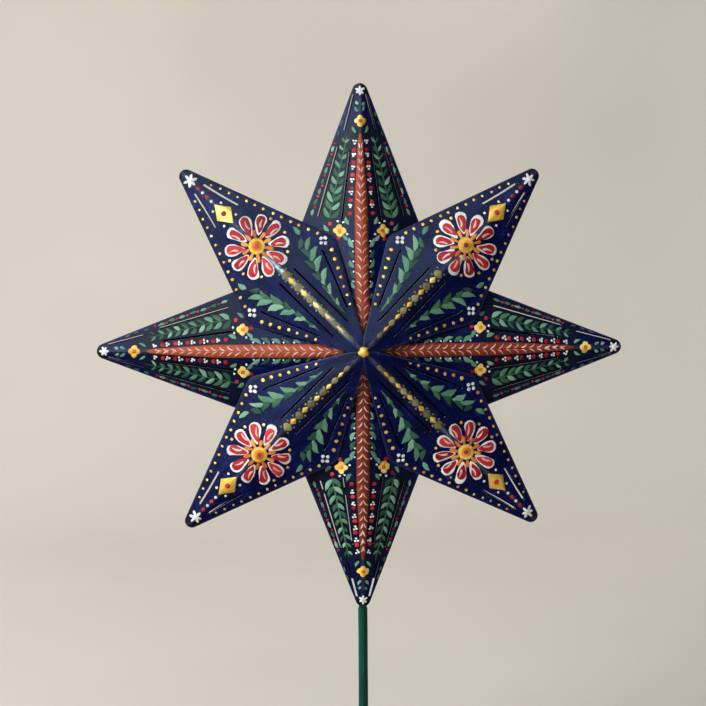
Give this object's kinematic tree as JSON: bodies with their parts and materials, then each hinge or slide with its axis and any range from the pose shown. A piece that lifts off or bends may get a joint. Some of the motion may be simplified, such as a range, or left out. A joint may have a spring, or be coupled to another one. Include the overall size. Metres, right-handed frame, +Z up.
{
  "type": "tree topper",
  "caption": "Hollow two-sided star of folded, slit and painted sheet metal that turns on a slim coated stake and lifts off it, to top a holiday tree.",
  "frame": {"origin": "on the stake's axis, at the lower end of its straight wall, just above the pointed foot", "axes": "+Z up along the stake, the star's front faces -Y, +X to the right of the front"},
  "size_m": [0.2176, 0.0448, 0.3766],
  "materials": {
    "painted_sheet": "brushed-on navy paint with folk ornaments, satin",
    "gold_paint": "gold paint, satin",
    "bare_steel": "plain drawn steel",
    "bush_plastic": "natural nylon",
    "stake_coating": "smooth green plastic coat"
  },
  "bodies": {
    "stake": {"stake_core": "bare_steel", "stake_coat": "stake_coating", "stake_foot": "stake_coating", "stake_cap": "stake_coating"},
    "bush": {"grip_bush": "bush_plastic"},
    "star": {"front_main_ray_top": "painted_sheet", "front_main_ray_right": "painted_sheet", "front_main_ray_bottom": "painted_sheet", "front_main_ray_left": "painted_sheet", "front_diagonal_ray_upper_right": "painted_sheet", "front_diagonal_ray_lower_right": "painted_sheet", "front_diagonal_ray_lower_left": "painted_sheet", "front_diagonal_ray_upper_left": "painted_sheet", "back_main_ray_top": "painted_sheet", "back_main_ray_right": "painted_sheet", "back_main_ray_bottom": "painted_sheet", "back_main_ray_left": "painted_sheet", "back_diagonal_ray_upper_right": "painted_sheet", "back_diagonal_ray_lower_right": "painted_sheet", "back_diagonal_ray_lower_left": "painted_sheet", "back_diagonal_ray_upper_left": "painted_sheet", "front_cap": "gold_paint", "back_cap": "gold_paint", "tie_rod": "bare_steel", "front_spacer": "bare_steel", "back_spacer": "bare_steel", "front_sleeve": "bare_steel", "back_sleeve": "bare_steel", "socket_tube": "bare_steel", "stop_plug": "bare_steel", "tube_saddle": "bare_steel"}
  },
  "joints": [
    {"name": "star_lift", "type": "slide", "parent": "stake", "child": "bush", "axis": [0, 0, 1], "range_m": [0, 0.105]},
    {"name": "star_turn", "type": "hinge", "parent": "bush", "child": "star", "pos_m": [0, 0, 0.19], "axis": [0, 0, 1], "continuous": true}
  ]
}
